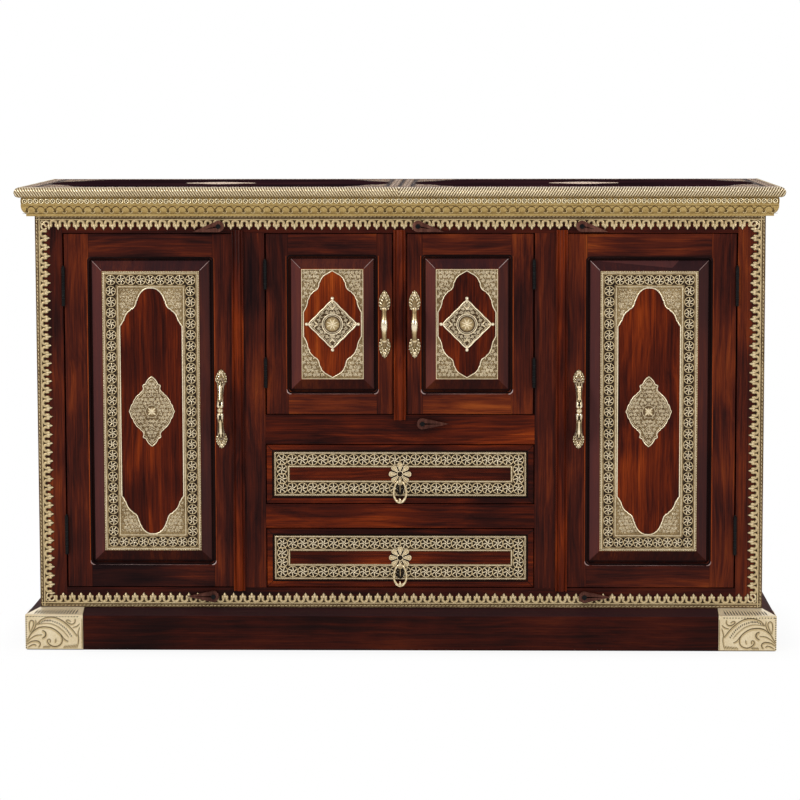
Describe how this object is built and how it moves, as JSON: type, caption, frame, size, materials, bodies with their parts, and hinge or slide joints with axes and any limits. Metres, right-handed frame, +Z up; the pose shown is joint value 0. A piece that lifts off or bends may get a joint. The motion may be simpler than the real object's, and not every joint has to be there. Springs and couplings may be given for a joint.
{
  "type": "sideboard",
  "caption": "Sideboard of dark rosewood with antiqued brass fittings: tall outer doors, small doors over drawers in the middle, turn buttons as latches, a rope edge round the top.",
  "frame": {"origin": "on the floor, under the centre of the bounding box", "axes": "+X to the right as seen from the front, +Y from the front to the back, +Z up"},
  "size_m": [1.5, 0.45, 0.915],
  "materials": {
    "rosewood": "glossy stained rosewood",
    "dark_rosewood": "glossy stained rosewood, nearly black",
    "inner_wood": "matt, lightly stained",
    "sheet_brass": "embossed and antiqued",
    "cast_brass": "cast and antiqued",
    "black_iron": "blackened, satin"
  },
  "bodies": {
    "carcass": {"plinth_front": "rosewood", "plinth_sides": "rosewood", "plinth_back": "rosewood", "plinth_corners": "sheet_brass", "flat_panels": "inner_wood", "side_panels": "rosewood", "dividers": "inner_wood", "back_panel": "dark_rosewood", "shelves": "inner_wood", "outer_stiles": "rosewood", "mullions": "rosewood", "main_rails": "rosewood", "centre_rails": "rosewood", "centre_strip": "dark_rosewood", "cornice": "sheet_brass", "top_board": "dark_rosewood", "edge_brass": "sheet_brass", "top_brass": "sheet_brass", "borders": "sheet_brass", "battens": "inner_wood", "drawer_guides": "inner_wood", "hinge_leaves": "black_iron", "hinge_pins": "black_iron", "button_screws": "black_iron"},
    "left_door": {"left_door_frame": "rosewood", "left_door_panel": "dark_rosewood", "left_door_strip": "dark_rosewood", "left_door_brass": "sheet_brass", "left_door_handle": "cast_brass", "left_door_hinges": "black_iron"},
    "right_door": {"right_door_frame": "rosewood", "right_door_panel": "dark_rosewood", "right_door_strip": "dark_rosewood", "right_door_brass": "sheet_brass", "right_door_handle": "cast_brass", "right_door_hinges": "black_iron"},
    "small_left_door": {"small_left_frame": "rosewood", "small_left_panel": "dark_rosewood", "small_left_brass": "sheet_brass", "small_left_handle": "cast_brass", "small_left_hinges": "black_iron"},
    "small_right_door": {"small_right_frame": "rosewood", "small_right_panel": "dark_rosewood", "small_right_brass": "sheet_brass", "small_right_handle": "cast_brass", "small_right_hinges": "black_iron"},
    "upper_drawer": {"upper_drawer_front": "rosewood", "upper_drawer_box": "inner_wood", "upper_drawer_brass": "sheet_brass"},
    "lower_drawer": {"lower_drawer_front": "rosewood", "lower_drawer_box": "inner_wood", "lower_drawer_brass": "sheet_brass"},
    "upper_ring": {"upper_drawer_ring": "cast_brass"},
    "lower_ring": {"lower_drawer_ring": "cast_brass"},
    "turn_top_button_left": {"top_button_left": "dark_rosewood"},
    "turn_top_button_middle": {"top_button_middle": "dark_rosewood"},
    "turn_top_button_right": {"top_button_right": "dark_rosewood"},
    "turn_low_button_left": {"low_button_left": "dark_rosewood"},
    "turn_low_button_middle": {"low_button_middle": "dark_rosewood"},
    "turn_low_button_right": {"low_button_right": "dark_rosewood"}
  },
  "joints": [
    {"name": "left_door_hinge", "type": "hinge", "parent": "carcass", "child": "left_door", "pos_m": [-0.66, -0.1939, 0.4725], "axis": [0, 0, -1], "range_deg": [0, 110]},
    {"name": "right_door_hinge", "type": "hinge", "parent": "carcass", "child": "right_door", "pos_m": [0.66, -0.1939, 0.4725], "axis": [0, 0, 1], "range_deg": [0, 110]},
    {"name": "small_left_door_hinge", "type": "hinge", "parent": "carcass", "child": "small_left_door", "pos_m": [-0.2635, -0.1939, 0.645], "axis": [0, 0, -1], "range_deg": [0, 110]},
    {"name": "small_right_door_hinge", "type": "hinge", "parent": "carcass", "child": "small_right_door", "pos_m": [0.2635, -0.1939, 0.645], "axis": [0, 0, 1], "range_deg": [0, 110]},
    {"name": "upper_drawer_slide", "type": "slide", "parent": "carcass", "child": "upper_drawer", "axis": [0, -1, 0], "range_m": [0, 0.28]},
    {"name": "lower_drawer_slide", "type": "slide", "parent": "carcass", "child": "lower_drawer", "axis": [0, -1, 0], "range_m": [0, 0.28]},
    {"name": "upper_ring_swing", "type": "hinge", "parent": "upper_drawer", "child": "upper_ring", "pos_m": [0, -0.1965, 0.335], "axis": [-1, 0, 0], "range_deg": [-4, 160]},
    {"name": "lower_ring_swing", "type": "hinge", "parent": "lower_drawer", "child": "lower_ring", "pos_m": [0, -0.1965, 0.168], "axis": [-1, 0, 0], "range_deg": [-4, 160]},
    {"name": "top_button_left_turn", "type": "hinge", "parent": "carcass", "child": "turn_top_button_left", "pos_m": [-0.354, -0.1961, 0.8375], "axis": [0, -1, 0], "range_deg": [-30, 100]},
    {"name": "top_button_middle_turn", "type": "hinge", "parent": "carcass", "child": "turn_top_button_middle", "pos_m": [0.0365, -0.1961, 0.8375], "axis": [0, 1, 0], "range_deg": [-30, 100]},
    {"name": "top_button_right_turn", "type": "hinge", "parent": "carcass", "child": "turn_top_button_right", "pos_m": [0.3565, -0.1961, 0.8375], "axis": [0, 1, 0], "range_deg": [-30, 100]},
    {"name": "low_button_left_turn", "type": "hinge", "parent": "carcass", "child": "turn_low_button_left", "pos_m": [-0.37, -0.1961, 0.104], "axis": [0, 1, 0], "range_deg": [-15, 100]},
    {"name": "low_button_middle_turn", "type": "hinge", "parent": "carcass", "child": "turn_low_button_middle", "pos_m": [0.0445, -0.1961, 0.449], "axis": [0, -1, 0], "range_deg": [-15, 100]},
    {"name": "low_button_right_turn", "type": "hinge", "parent": "carcass", "child": "turn_low_button_right", "pos_m": [0.364, -0.1961, 0.104], "axis": [0, -1, 0], "range_deg": [-15, 100]}
  ]
}
